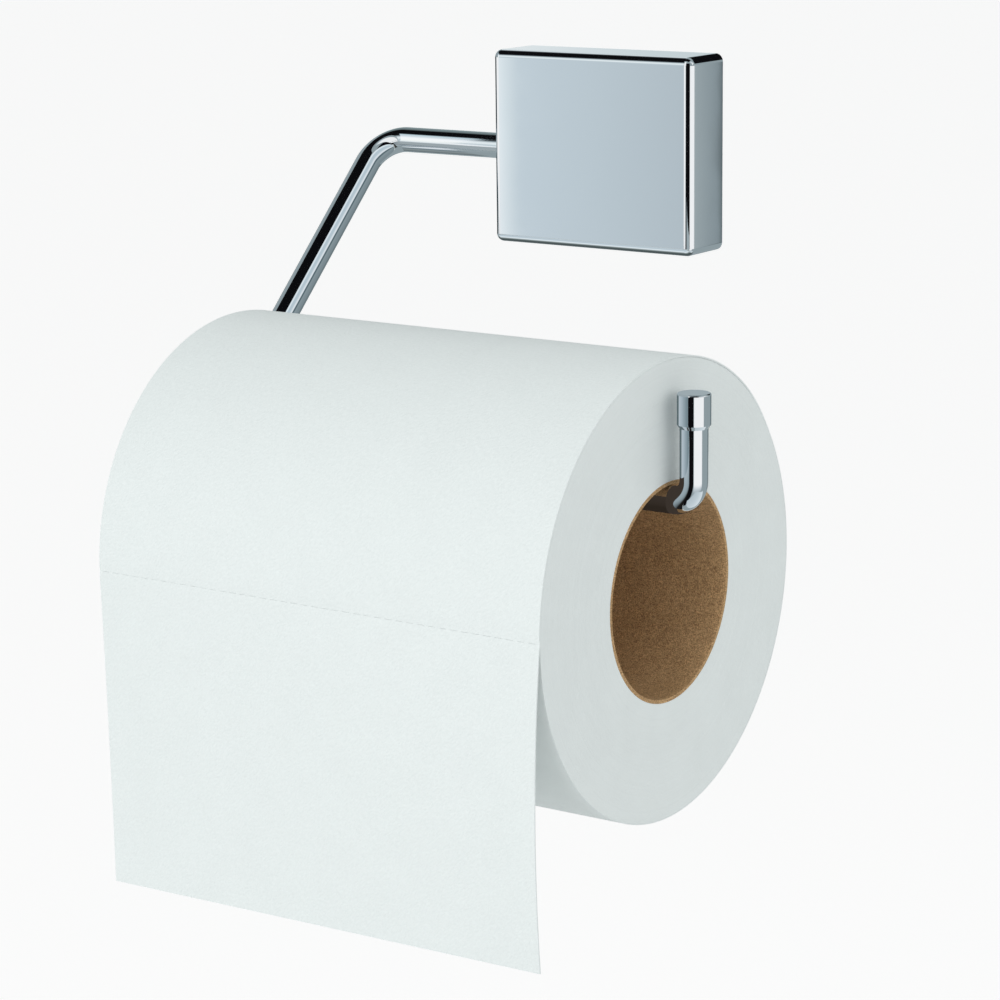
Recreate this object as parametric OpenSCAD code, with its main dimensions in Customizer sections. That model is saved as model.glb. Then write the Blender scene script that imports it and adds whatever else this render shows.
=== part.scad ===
// Wall-mounted toilet paper holder: a bent round bar held in a small rectangular cover,
// with a roll of paper hanging on the bar.
// Frame: the origin is on the wall, at the centre of the cover's back. +X runs to the
// holder's open end, +Z is up, and -Y points out of the wall into the room.

/* [Cover] */
// Width of the cover along the wall
cover_w = 46.8; // [44:0.1:70]
// Height of the cover
cover_h = 39; // [38:0.1:60]
// How far the cover stands out of the wall
cover_d = 12.3; // [12:0.1:16]
// Wall thickness of the cast shell
cover_wall = 2; // [1.5:0.1:2.5]
// Rounding of the cover's outer edges
cover_edge_r = 1.4; // [0.5:0.1:1.9]

/* [Wall plate] */
// Width of the stamped plate
plate_w = 33; // [32:0.5:36]
// Thickness of the plate's sheet metal
plate_t = 1.8; // [1.2:0.1:2]
// Gap between the wall and the back of the plate's lips
lip_gap = 3; // [2.6:0.1:3.4]
// Height of the plate's flat middle above and below the centre
plate_flat = 12; // [12:0.1:12.5]
// Height above the centre where the lip starts
lip_start = 14.6; // [14.4:0.1:15]
// Height above the centre of the lip's edge
lip_end = 16.6; // [16:0.1:17]
// Width of the screw holes and slots
slot_w = 4.5; // [4:0.1:5]
// Length of the two level slots, end to end
slot_len = 8; // [6:0.5:8.5]
// Distance between the centres of the two level slots
slot_spacing = 23; // [20:0.5:23]
// Distance between the centres of the two round holes
hole_spacing = 15; // [12:0.5:15]

/* [Arm] */
// Diameter of the round bar
rod_d = 5.2; // [4:0.1:6]
// Distance from the wall to the axis of the upper run
rod_out = 6.2; // [5.9:0.05:6.4]
// How far the axis of the upper run lies below the cover's centre
rod_low = 0.65; // [0:0.05:1]
// Distance from the cover's centre to the leg, along the wall
leg_x = 56.2; // [54:0.2:70]
// How far the leg carries the lower run out from the upper run
leg_run = 56.9; // [50:0.05:80]
// How far the leg carries the lower run down
leg_drop = 54.65; // [45:0.05:60]
// Bend radius at the top of the leg, to the bar's axis
bend_top_r = 7; // [6:0.5:15]
// Bend radius at the foot of the leg, to the bar's axis
bend_foot_r = 6; // [5:0.5:6]
// Bend radius under the upright tip, to the bar's axis
bend_tip_r = 4; // [3.5:0.1:4.5]
// Distance from the cover's centre to the upright tip, along the wall
tip_x = 54.8; // [54:0.1:70]

/* [End cap] */
// Diameter of the cap
cap_d = 6.2; // [6:0.05:8]
// Height of the cap
cap_h = 6.5; // [5:0.1:10]
// Height of the cap's lower edge above the axis of the lower run
cap_rise = 13.7; // [8:0.1:30]
// Diameter of the turned spigot inside the cap
spigot_d = 4; // [3:0.1:4.5]
// Length of the turned spigot
spigot_len = 4.2; // [3:0.1:4.5]

/* [Roll] */
// Width of the roll
roll_w = 100; // [90:1:100]
// Diameter of the roll over its last sheet
roll_d = 86.8; // [60:0.2:120]
// Outer diameter of the cardboard core
core_d = 41.4; // [38:0.2:48]
// Thickness of one of the core's two plies
ply_t = 0.35; // [0.25:0.05:0.6]
// Thickness of the embossed two-ply sheet
sheet_t = 0.3; // [0.2:0.05:0.4]
// Length of the last sheet that still lies on the roll
sheet_len = 115; // [90:1:125]
// Length of the paper that hangs free
tail_len = 61; // [30:1:100]

/* [Hidden] */
$fn = 96;
eps = 0.01;
over = 1;

// Fits
rod_fit = 0.05;      // between the bar and its socket, all round
thread_fit = 0.03;   // between a screw and its tapped hole, all round
cap_fit = 0.02;      // between the spigot and the cap, all round
hook_fit = 0.05;     // between the hook rib and the plate's bent lip
core_rest = 0.1;     // between the top of the bar and the core that hangs on it
turn_gap = 0.15;     // between the last sheet and the paper that turns under it
tear_gap = 0.1;      // between the last sheet and the free end, along the tear line

// Cover and what is inside it
rod_r = rod_d / 2;
cavity_d = cover_d - cover_wall;
cavity_r = 1;
socket_depth = 12;
socket_end_x = -cover_w / 2 + cover_wall + socket_depth;
boss_h = rod_d + 5;
boss_back = plate_t + 0.2;
boss_end_wall = 1.3;
set_screw_r = 1.5;
set_screw_x = [-cover_w / 2 + cover_wall + 3.2, -cover_w / 2 + cover_wall + 8.8];
flat_depth = 1;
flat_y = -rod_out + rod_r - flat_depth;
rib_back = 0.5;
rib_front = lip_gap - 0.2;
rib_w = 26;
lip_slope = (lip_start - plate_flat) / lip_gap;
grub_r = 1.5;
grub_y = -lip_gap + 0.5;
grub_tip_z = -lip_end + 0.5;
grub_len = 3.2;
hex_r = 0.87;
hex_depth = 1.2;

// Wall screws and plugs
screw_r = 1.9;
screw_head_r = 3.6;
screw_head_h = 2.4;
screw_len = 26;
screw_point = 4;
cross_len = 4;
cross_w = 0.9;
cross_depth = 1.4;
plug_r = 3;
plug_start = 2.5;
plug_len = 24;
plug_bore_r = 1.95;
plug_barb = 0.45;
plug_slit_w = 0.8;
plug_slit_start = 6;
plug_barbs = [8, 11, 14, 17, 20];

// Arm
leg_len = norm([leg_run, leg_drop]);
leg_angle = atan2(leg_drop, leg_run);
low_y = -rod_out - leg_run;
low_z = -rod_low - leg_drop;
cap_base_z = low_z + cap_rise;
cap_chamfer = 0.5;
cap_chamfer_h = 0.7;
cap_top_r = 0.35;

// Roll
roll_r = roll_d / 2;
core_r = core_d / 2;
core_bore_r = core_r - 2 * ply_t;
roll_y = low_y;
roll_z = low_z + rod_r + core_rest - core_bore_r;
sheet_arc = sheet_len / roll_r * 180 / PI;

chrome = "#c9cdd2";
zinc = "#b9bcbf";
nylon = "#9a9da0";
kraft = "#a47a52";
tissue = "#eef2f2";

// A rectangle with round corners, centred on the origin.
module round_rect(w, h, r) {
    square([w, h - 2 * r], center = true);
    square([w - 2 * r, h], center = true);
    for (x = [-1, 1], y = [-1, 1])
        translate([x * (w / 2 - r), y * (h / 2 - r)])
            circle(r = r);
}

// A profile as wide as w, from y = 0 back to y = d, with its two far corners rounded.
module round_front(w, d, r) {
    translate([-w / 2, 0])
        square([w, d - r]);
    translate([-w / 2 + r, 0])
        square([w - 2 * r, d]);
    for (x = [-1, 1])
        translate([x * (w / 2 - r), d - r])
            circle(r = r);
}

// The cover's outside: one rounded outline for each of the three directions.
module cover_block() {
    intersection() {
        rotate([90, 0, 0])
            linear_extrude(cover_d)
                round_rect(cover_w, cover_h, cover_edge_r);
        translate([0, 0, -cover_h])
            linear_extrude(2 * cover_h)
                mirror([0, 1])
                    round_front(cover_w, cover_d, cover_edge_r);
        rotate([90, 0, 90])
            translate([0, 0, -cover_w])
                linear_extrude(2 * cover_w)
                    rotate(90)
                        round_front(cover_h, cover_d, cover_edge_r);
    }
}

// The block inside the cover that takes the end of the bar.
module arm_socket() {
    x0 = -cover_w / 2 + cover_wall - eps;
    translate([x0, -cavity_d - eps, -rod_low - boss_h / 2])
        cube([socket_end_x + boss_end_wall - x0, cavity_d + eps - boss_back, boss_h]);
}

// The rib that hooks behind the wall plate's upper lip.
module hook_rib() {
    top = cover_h / 2 - cover_wall + eps;
    low_back = plate_flat + rib_back * lip_slope + hook_fit;
    low_front = plate_flat + rib_front * lip_slope + hook_fit;
    translate([-rib_w / 2, 0, 0])
        rotate([90, 0, 90])
            linear_extrude(rib_w)
                polygon([[-rib_back, low_back], [-rib_back, top],
                    [-rib_front, top], [-rib_front, low_front]]);
}

module cover() {
    color(chrome)
        difference() {
            union() {
                difference() {
                    cover_block();
                    translate([0, over, 0])
                        rotate([90, 0, 0])
                            linear_extrude(cavity_d + over)
                                round_rect(cover_w - 2 * cover_wall,
                                    cover_h - 2 * cover_wall, cavity_r);
                }
                arm_socket();
                hook_rib();
            }
            // hole and socket for the bar
            translate([-cover_w / 2 - over, -rod_out, -rod_low])
                rotate([0, 90, 0])
                    cylinder(r = rod_r + rod_fit, h = over + cover_wall + socket_depth);
            // tapped holes of the two set screws
            for (x = set_screw_x)
                translate([x, -boss_back + over, -rod_low])
                    rotate([90, 0, 0])
                        cylinder(r = set_screw_r + thread_fit,
                            h = rod_out - boss_back + over);
            // tapped hole of the grub screw
            translate([0, grub_y, -cover_h / 2 - over])
                cylinder(r = grub_r + thread_fit, h = cover_wall + 2 * over);
        }
}

// One side of the plate's section, from the middle to the bent lip's edge.
function plate_half(s) =
    let (bend = plate_t * tan(atan2(lip_gap, lip_start - plate_flat) / 2))
    [[0, s * plate_flat], [-lip_gap, s * lip_start], [-lip_gap, s * lip_end],
        [-lip_gap - plate_t, s * lip_end], [-lip_gap - plate_t, s * (lip_start - bend)],
        [-plate_t, s * (plate_flat - bend)]];

module level_slot() {
    translate([-(slot_len - slot_w) / 2, -slot_w / 2])
        square([slot_len - slot_w, slot_w]);
    for (x = [-1, 1])
        translate([x * (slot_len - slot_w) / 2, 0])
            circle(d = slot_w);
}

module wall_plate() {
    top = plate_half(1);
    foot = plate_half(-1);
    color(zinc)
        difference() {
            intersection() {
                translate([-plate_w / 2, 0, 0])
                    rotate([90, 0, 90])
                        linear_extrude(plate_w)
                            polygon([for (p = top) p, for (i = [5:-1:0]) foot[i]]);
                translate([0, over, 0])
                    rotate([90, 0, 0])
                        linear_extrude(2 * over + lip_gap + plate_t)
                            round_rect(plate_w, 2 * lip_end, 2.5);
            }
            for (z = [-1, 1])
                translate([0, over, z * hole_spacing / 2])
                    rotate([90, 0, 0])
                        cylinder(d = slot_w, h = plate_t + 2 * over);
            for (x = [-1, 1])
                translate([x * slot_spacing / 2, over, 0])
                    rotate([90, 0, 0])
                        linear_extrude(plate_t + 2 * over)
                            level_slot();
        }
}

// A pan-head wood screw with a cross recess, head on the plate and point in the wall.
module wall_screw(z) {
    color(zinc)
        translate([0, -plate_t, z])
            rotate([-90, 0, 0])
                difference() {
                    union() {
                        rotate_extrude()
                            translate([0, -screw_head_h])
                                intersection() {
                                    round_rect_half(screw_head_r, screw_head_h, 0.9);
                                    square([screw_head_r, screw_head_h]);
                                }
                        cylinder(r = screw_r, h = screw_len - screw_point);
                        translate([0, 0, screw_len - screw_point])
                            cylinder(r1 = screw_r, r2 = 0.2, h = screw_point);
                    }
                    for (a = [0, 90])
                        rotate(a)
                            translate([-cross_len / 2, -cross_w / 2, -screw_head_h - over])
                                cube([cross_len, cross_w, cross_depth + over]);
                }
}

// Half of a section with its outer corner at y = 0 rounded, for turning.
module round_rect_half(r, h, edge) {
    translate([0, edge])
        square([r, h - edge]);
    square([r - edge, h]);
    translate([r - edge, edge])
        circle(r = edge);
}

// A nylon plug with barbs and a slit, set just below the face of the wall.
module wall_plug(z) {
    barbs = [for (y = plug_barbs) each [[plug_r, y], [plug_r + plug_barb, y],
        [plug_r, y + 2]]];
    color(nylon)
        translate([0, plug_start, z])
            rotate([-90, 0, 0])
                difference() {
                    rotate_extrude()
                        polygon([[plug_bore_r, 0], [plug_r + 0.6, 0], [plug_r + 0.6, 0.8],
                            [plug_r, 1.4], each barbs, [plug_r, plug_len - 0.8],
                            [plug_r - 0.6, plug_len], [plug_bore_r, plug_len]]);
                    translate([-plug_slit_w / 2, -2 * plug_r, plug_slit_start])
                        cube([plug_slit_w, 4 * plug_r, plug_len - plug_slit_start - 2]);
                }
}

module wall_screw_upper() {
    wall_screw(hole_spacing / 2);
}

module wall_screw_lower() {
    wall_screw(-hole_spacing / 2);
}

module wall_plug_upper() {
    wall_plug(hole_spacing / 2);
}

module wall_plug_lower() {
    wall_plug(-hole_spacing / 2);
}

// Cone-point grub screw: its cone bears behind the plate's lower lip.
module cover_grub_screw() {
    body_z = grub_tip_z - grub_r;
    color(zinc)
        translate([0, grub_y, body_z])
            difference() {
                union() {
                    translate([0, 0, grub_r - grub_len])
                        cylinder(r = grub_r, h = grub_len - grub_r);
                    cylinder(r1 = grub_r, r2 = 0, h = grub_r);
                }
                translate([0, 0, grub_r - grub_len - over])
                    cylinder(r = hex_r, h = hex_depth + over, $fn = 6);
            }
}

// Flat-point set screw that presses on the bar's milled flat.
module arm_set_screw(x) {
    len = -boss_back - flat_y;
    color(zinc)
        translate([x, flat_y, -rod_low])
            rotate([-90, 0, 0])
                difference() {
                    cylinder(r = set_screw_r, h = len);
                    translate([0, 0, len - hex_depth])
                        cylinder(r = hex_r, h = hex_depth + over, $fn = 6);
                }
}

module arm_set_screw_left() {
    arm_set_screw(set_screw_x[0]);
}

module arm_set_screw_right() {
    arm_set_screw(set_screw_x[1]);
}

// A straight piece of the bar along +X.
module bar(len) {
    rotate([0, 90, 0])
        cylinder(r = rod_r, h = len);
}

// A quarter bend of the bar, from angle 0 to angle 90 about Z. The turn spins the round
// section about its own axis, so that its seam meets the seam of the piece before it.
module quarter_bend(r, turn = 0) {
    rotate_extrude(angle = 90)
        translate([r, 0])
            rotate(turn)
                circle(r = rod_r);
}

// Upper run, leg and lower run lie in one plane, which leans out from the wall.
module arm_loop() {
    translate([0, low_y, low_z])
        rotate([leg_angle, 0, 0]) {
            translate([-leg_x + bend_top_r, leg_len, 0])
                bar(socket_end_x + leg_x - bend_top_r);
            translate([-leg_x + bend_top_r, leg_len - bend_top_r, 0])
                rotate(90)
                    quarter_bend(bend_top_r);
            translate([-leg_x, leg_len - bend_top_r, 0])
                rotate([90, 0, 0])
                    cylinder(r = rod_r, h = leg_len - bend_top_r - bend_foot_r);
            translate([-leg_x + bend_foot_r, bend_foot_r, 0])
                rotate(180)
                    quarter_bend(bend_foot_r);
            translate([-leg_x + bend_foot_r, 0, 0])
                bar(leg_x - bend_foot_r + tip_x - bend_tip_r);
        }
}

// The loop with its last bend, which turns the bar up in front of the roll's end.
module arm_bent() {
    union() {
        arm_loop();
        translate([tip_x - bend_tip_r, low_y, low_z + bend_tip_r])
            rotate([90, 0, 0])
                rotate(270)
                    quarter_bend(bend_tip_r, -leg_angle);
    }
}

module arm_rod() {
    color(chrome)
        difference() {
            union() {
                arm_bent();
                translate([tip_x, low_y, low_z + bend_tip_r])
                    cylinder(r = rod_r, h = cap_rise - bend_tip_r);
                translate([tip_x, low_y, cap_base_z])
                    cylinder(d = spigot_d, h = spigot_len);
            }
            // milled flat for the set screws
            translate([set_screw_x[0] - 2 * set_screw_r, flat_y, -rod_d])
                cube([socket_depth + over, rod_d, 2 * rod_d]);
        }
}

module end_cap() {
    color(chrome)
        translate([tip_x, low_y, cap_base_z])
            difference() {
                rotate_extrude()
                    difference() {
                        union() {
                            square([cap_d / 2, cap_h - cap_top_r]);
                            square([cap_d / 2 - cap_top_r, cap_h]);
                            translate([cap_d / 2 - cap_top_r, cap_h - cap_top_r])
                                circle(r = cap_top_r);
                        }
                        polygon([[cap_d / 2 - cap_chamfer, 0], [cap_d / 2 + eps, -eps],
                            [cap_d / 2 + eps, cap_chamfer_h + eps]]);
                    }
                translate([0, 0, -over])
                    cylinder(r = spigot_d / 2 + cap_fit, h = spigot_len + over + 0.1);
            }
}

// A tube along X round the roll's axis.
module roll_tube(r_out, r_in) {
    translate([-roll_w / 2, roll_y, roll_z])
        rotate([0, 90, 0])
            difference() {
                cylinder(r = r_out, h = roll_w);
                translate([0, 0, -over])
                    cylinder(r = r_in, h = roll_w + 2 * over);
            }
}

module core_inner_ply() {
    color(kraft)
        roll_tube(core_bore_r + ply_t, core_bore_r);
}

module core_outer_ply() {
    color(kraft)
        roll_tube(core_r, core_bore_r + ply_t);
}

module wound_paper() {
    color(tissue)
        roll_tube(roll_r - sheet_t - turn_gap, core_r);
}

// The last sheet on the roll, from the front tangent back over the top.
module top_sheet() {
    color(tissue)
        translate([-roll_w / 2, roll_y, roll_z])
            rotate([90, 0, 90])
                rotate(180 - sheet_arc)
                    rotate_extrude(angle = sheet_arc)
                        translate([roll_r - sheet_t, 0])
                            square([sheet_t, roll_w]);
}

// The free end, hanging straight down from the front tangent.
module tail_sheet() {
    color(tissue)
        translate([-roll_w / 2, roll_y - roll_r, roll_z - tail_len])
            cube([roll_w, sheet_t, tail_len - tear_gap]);
}

cover();
wall_plate();
wall_screw_upper();
wall_screw_lower();
wall_plug_upper();
wall_plug_lower();
cover_grub_screw();
arm_rod();
arm_set_screw_left();
arm_set_screw_right();
end_cap();
core_inner_ply();
core_outer_ply();
wound_paper();
top_sheet();
tail_sheet();
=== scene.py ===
# %% [markdown]
# # A wall-mounted toilet paper holder, dressed around its CAD frame
# The CAD model holds every piece at its real size, in metres, with the origin on the wall at the
# centre of the cover's back. +X runs to the holder's open end, +Z is up and -Y points into the
# room. This lesson loads that frame, then models the pieces whose finish or softness needs more
# than CAD gives: the plated cover, the bent bar, the threaded screws, the roll and its paper.

import math
import random

import bmesh
import bpy
from mathutils import Matrix, Vector


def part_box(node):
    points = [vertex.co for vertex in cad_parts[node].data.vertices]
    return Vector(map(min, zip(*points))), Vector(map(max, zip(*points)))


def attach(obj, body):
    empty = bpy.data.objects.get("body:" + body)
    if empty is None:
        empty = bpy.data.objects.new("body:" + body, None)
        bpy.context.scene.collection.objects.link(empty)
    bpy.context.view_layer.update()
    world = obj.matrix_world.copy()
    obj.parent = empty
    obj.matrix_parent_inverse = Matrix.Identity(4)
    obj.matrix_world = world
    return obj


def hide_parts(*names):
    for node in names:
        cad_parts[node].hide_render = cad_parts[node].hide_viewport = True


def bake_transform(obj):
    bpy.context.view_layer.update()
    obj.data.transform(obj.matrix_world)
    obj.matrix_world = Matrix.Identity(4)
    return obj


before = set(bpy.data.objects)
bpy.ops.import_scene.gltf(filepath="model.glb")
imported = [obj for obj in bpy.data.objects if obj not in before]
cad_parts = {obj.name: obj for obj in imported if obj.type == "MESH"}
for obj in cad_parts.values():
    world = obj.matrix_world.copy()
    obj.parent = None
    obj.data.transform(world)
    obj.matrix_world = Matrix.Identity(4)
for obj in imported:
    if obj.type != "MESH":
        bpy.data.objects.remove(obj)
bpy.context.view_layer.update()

# %% [markdown]
# ## Sizes
# Places are read from the frame's boxes, so that a change to the CAD model carries over. The few
# sizes that no box shows, such as wall thickness and bend radii, are named here once, in the
# same values as in the CAD source.

# %% Sizes of the pieces
MM = 0.001
QUARTER = math.radians(90)
cover_low, cover_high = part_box("cover")
arm_low, arm_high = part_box("arm_rod")
cap_low, cap_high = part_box("end_cap")
roll_low, roll_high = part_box("wound_paper")
web_low, web_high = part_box("top_sheet")
tail_low, tail_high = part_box("tail_sheet")

COVER_WALL = 2 * MM
COVER_EDGE = 1.6 * MM
CAVITY_CORNER = 1 * MM
ROD_R = 2.6 * MM
BEND_TOP = 7 * MM
BEND_FOOT = 6 * MM
BEND_TIP = 4 * MM
CORE_R = 20.7 * MM
PLY = 0.35 * MM
SHEET = 0.3 * MM

leg_x = arm_low.x + ROD_R
upper_y = arm_high.y - ROD_R
upper_z = arm_high.z - ROD_R
lower_y = arm_low.y + ROD_R
lower_z = arm_low.z + ROD_R
tip_x = arm_high.x - ROD_R
roll_y = (roll_low.y + roll_high.y) / 2
roll_z = (roll_low.z + roll_high.z) / 2
roll_centre = Vector((0, roll_y, roll_z))
roll_r = web_high.z - roll_z
half_roll = roll_high.x
print("roll's axis at", round(roll_y, 5), round(roll_z, 5), "radius", round(roll_r, 5))

# %% [markdown]
# ## The camera
# A long lens of about 114 mm stands a little over 60 cm from the holder, to the right of it and
# slightly above, and looks down at it by 13 degrees. The three columns of the rotation are the
# camera's right, up and back directions.

# %% Camera
LENS = 113.65
SENSOR = 36
CAMERA_PLACE = (0.34137, -0.54113, 0.07098)

camera_data = bpy.data.cameras.new("camera")
camera_data.lens = LENS
camera_data.sensor_width = SENSOR
camera = bpy.data.objects.new("camera", camera_data)
bpy.context.scene.collection.objects.link(camera)
camera_turn = Matrix((
    (0.82505, -0.11544, 0.55314),
    (0.56495, 0.18755, -0.80353),
    (-0.01099, 0.97545, 0.21996),
))
camera.matrix_world = Matrix.Translation(CAMERA_PLACE) @ camera_turn.to_4x4()
bpy.context.scene.camera = camera
bpy.context.scene.view_settings.view_transform = "Standard"

# %% [markdown]
# ## Small helpers for modelling by hand
# Edit-mode operators act on whatever is selected. The helpers below select one object, switch to
# edit mode and pick faces, edges or vertices by their place, which is how the mouse would do it.

# %% Helpers: select, edit, pick
def only(piece):
    """Selects this object alone and makes it the active one."""
    bpy.ops.object.select_all(action="DESELECT")
    piece.select_set(True)
    bpy.context.view_layer.objects.active = piece


def place_in_mesh(piece):
    """Puts the object's place, turn and scale into its mesh, so that its origin is the frame's."""
    only(piece)
    bpy.ops.object.transform_apply(location=True, rotation=True, scale=True)
    return piece


def edit(piece):
    only(piece)
    bpy.ops.object.mode_set(mode="EDIT")
    bpy.ops.mesh.select_all(action="DESELECT")


def leave_edit():
    bpy.ops.object.mode_set(mode="OBJECT")


def middle(part):
    """The middle of an edge or face."""
    return sum((v.co for v in part.verts), Vector()) / len(part.verts)


def pick(piece, kind, wanted):
    """In edit mode, selects the VERT, EDGE or FACE parts for which wanted(part) is true."""
    bpy.ops.mesh.select_mode(type=kind)
    bpy.ops.mesh.select_all(action="DESELECT")
    form = bmesh.from_edit_mesh(piece.data)
    parts = {"VERT": form.verts, "EDGE": form.edges, "FACE": form.faces}[kind]
    count = 0
    for part in parts:
        if wanted(part):
            part.select_set(True)
            count += 1
    form.select_flush_mode()
    bmesh.update_edit_mesh(piece.data)
    return count


def extrude(move):
    """Extrudes what is selected by one straight move."""
    bpy.ops.mesh.extrude_region_move(TRANSFORM_OT_translate={"value": tuple(move)})


def modify(piece, kind, **settings):
    """Adds one modifier with these settings and applies it."""
    only(piece)
    modifier = piece.modifiers.new(kind.lower(), kind)
    for key, value in settings.items():
        setattr(modifier, key, value)
    bpy.ops.object.modifier_apply(modifier=modifier.name)


def near(a, b, slack=0.02 * MM):
    return abs(a - b) < slack


# %% Helpers: box, join and cut
def box_piece(low, high):
    """A box between two corners, as a start for a block or a cutter."""
    centre = (Vector(low) + Vector(high)) / 2
    bpy.ops.mesh.primitive_cube_add(size=1, location=centre, scale=Vector(high) - Vector(low))
    return place_in_mesh(bpy.context.object)


def drill_piece(radius, start, along, length, sides=64):
    """A round bar from a point in a direction, as a start for a cutter or a turned piece."""
    along = Vector(along).normalized()
    bpy.ops.mesh.primitive_cylinder_add(
        vertices=sides,
        radius=radius,
        depth=length,
        location=Vector(start) + along * length / 2,
        rotation=along.to_track_quat("Z", "Y").to_euler(),
    )
    return place_in_mesh(bpy.context.object)


def combine(piece, other, operation):
    """Joins the other solid to the piece (UNION) or cuts it away (DIFFERENCE)."""
    modify(piece, "BOOLEAN", operation=operation, solver="EXACT", object=other)
    bpy.data.objects.remove(other)


def settle(piece, name, body, material, stands_for, smooth=30):
    """Gives a finished piece its name, shading, finish and, if it's rigid, its body."""
    place_in_mesh(piece)
    bpy.ops.object.shade_smooth_by_angle(angle=math.radians(smooth))
    piece.name = name
    piece.data.name = name
    piece.data.materials.clear()
    piece.data.materials.append(material)
    if body:
        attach(piece, body)
    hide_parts(*stands_for)
    print(name, "has", len(piece.data.polygons), "faces and stands for", stands_for)


# %% [markdown]
# ## Finishes
# Each finish is a short node tree of its own, on Object coordinates in metres, so that its grain
# has a real size. First come the helpers that start a material, add a node with its settings,
# add a noise whose scale is given as the size of its features, and turn noise into colour,
# roughness or relief.

# %% Helpers: material nodes
NOISE_LOW = 0.3
NOISE_HIGH = 0.7


def start_finish(name, **sockets):
    """A new material with its main shader, whose constant values are set on its own sockets."""
    material = bpy.data.materials.new(name)
    material.use_nodes = True
    shader = material.node_tree.nodes["Principled BSDF"]
    for key, value in sockets.items():
        shader.inputs[key.replace("_", " ")].default_value = value
    return material, shader


def link(source, target):
    source.id_data.links.new(source, target)


def add_node(beside, kind, inputs=None, **settings):
    """Adds a node to the tree of another node or socket, and sets or links its inputs."""
    node = beside.id_data.nodes.new(kind)
    for key, value in settings.items():
        setattr(node, key, value)
    for key, value in (inputs or {}).items():
        if isinstance(value, bpy.types.NodeSocket):
            link(value, node.inputs[key])
        else:
            node.inputs[key].default_value = value
    return node


def vector_math(operation, *values):
    """One step of vector arithmetic. Its outputs are Vector and, for a length, Value."""
    inputs = dict(enumerate(values))
    return add_node(values[0], "ShaderNodeVectorMath", inputs, operation=operation)


def object_place(shader, scale=(1, 1, 1), centre=(0, 0, 0)):
    """The point on the piece, measured from a centre and stretched."""
    where = add_node(shader, "ShaderNodeTexCoord").outputs["Object"]
    moved = vector_math("SUBTRACT", where, centre).outputs["Vector"]
    stretched = add_node(shader, "ShaderNodeMapping", {"Vector": moved, "Scale": scale})
    return stretched.outputs["Vector"]


def noise(where, feature, detail=2, rough=0.5):
    """A noise with features of about this size in metres."""
    inputs = {"Vector": where, "Scale": 1 / feature, "Detail": detail, "Roughness": rough}
    return add_node(where, "ShaderNodeTexNoise", inputs).outputs["Fac"]


def spread(value, low, high):
    """Maps a noise value from its usual span onto a wanted range."""
    span = {"From Min": NOISE_LOW, "From Max": NOISE_HIGH, "To Min": low, "To Max": high}
    return add_node(value, "ShaderNodeMapRange", {"Value": value, **span}).outputs["Result"]


def tint(value, stops):
    """Turns a value into a colour, by stops of (place, colour)."""
    ramp = add_node(value, "ShaderNodeValToRGB", {"Fac": value})
    points = ramp.color_ramp.elements
    for spot, (place, colour) in enumerate(stops):
        point = points[spot] if spot < 2 else points.new(place)
        point.position = place
        point.color = (*colour, 1)
    return ramp.outputs["Color"]


def blotches(value, dark, pale):
    """A colour that drifts between two as a noise value does."""
    return tint(value, [(NOISE_LOW, dark), (NOISE_HIGH, pale)])


def scaled(colour, share):
    return tuple(share * c for c in colour)


def multiply(one, other):
    """One colour times another. The Mix node has a row of sockets for each kind of value."""
    factor, first, second, result = 0, 6, 7, 2
    inputs = {factor: 1, first: one, second: other}
    mix = add_node(one, "ShaderNodeMix", inputs, data_type="RGBA", blend_type="MULTIPLY")
    return mix.outputs[result]


def relief(height, depth, under=None):
    """Bumps the surface by a height value times a depth in metres."""
    inputs = {"Height": height, "Distance": depth, "Strength": 1}
    if under is not None:
        inputs["Normal"] = under
    return add_node(height, "ShaderNodeBump", inputs).outputs["Normal"]


# %% [markdown]
# ### Polished chrome
# Chrome plate has hardly any colour or roughness of its own: it is a mirror. What tells the eye
# that it is plated metal is a very slight waviness left by the buffing wheel and a faint change
# in gloss, so the finish has those two and nothing else.

# %% Polished chrome
def polished_chrome():
    material, shader = start_finish(
        "polished_chrome",
        Base_Color=(0.84, 0.86, 0.88, 1),
        Metallic=1.0,
    )
    where = object_place(shader)
    gloss = noise(where, 8 * MM, detail=3)
    swell = noise(where, 16 * MM, detail=1)
    link(spread(gloss, 0.02, 0.05), shader.inputs["Roughness"])
    link(relief(swell, 0.008 * MM), shader.inputs["Normal"])
    return material


chrome = polished_chrome()

# %% [markdown]
# ### Bright zinc
# The wall plate and the small screws are steel with a thin zinc coat: duller than chrome, with
# the marks of the rolling mill along one direction and slightly warmer and cooler patches.

# %% Bright zinc
def bright_zinc():
    material, shader = start_finish("bright_zinc", Metallic=1.0)
    where = object_place(shader)
    rolled = object_place(shader, scale=(0.06, 1, 1))
    patches = noise(where, 5 * MM, detail=4)
    lines = noise(rolled, 0.35 * MM, detail=3)
    colour = blotches(patches, (0.50, 0.52, 0.53), (0.64, 0.63, 0.60))
    link(colour, shader.inputs["Base Color"])
    link(spread(lines, 0.26, 0.44), shader.inputs["Roughness"])
    link(relief(lines, 0.01 * MM), shader.inputs["Normal"])
    return material


zinc = bright_zinc()

# %% [markdown]
# ### Grey nylon
# Wall plugs are moulded in grey nylon. It is matt, a little see-through at thin edges, and has
# the fine grain of the tool it was moulded in.

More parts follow.
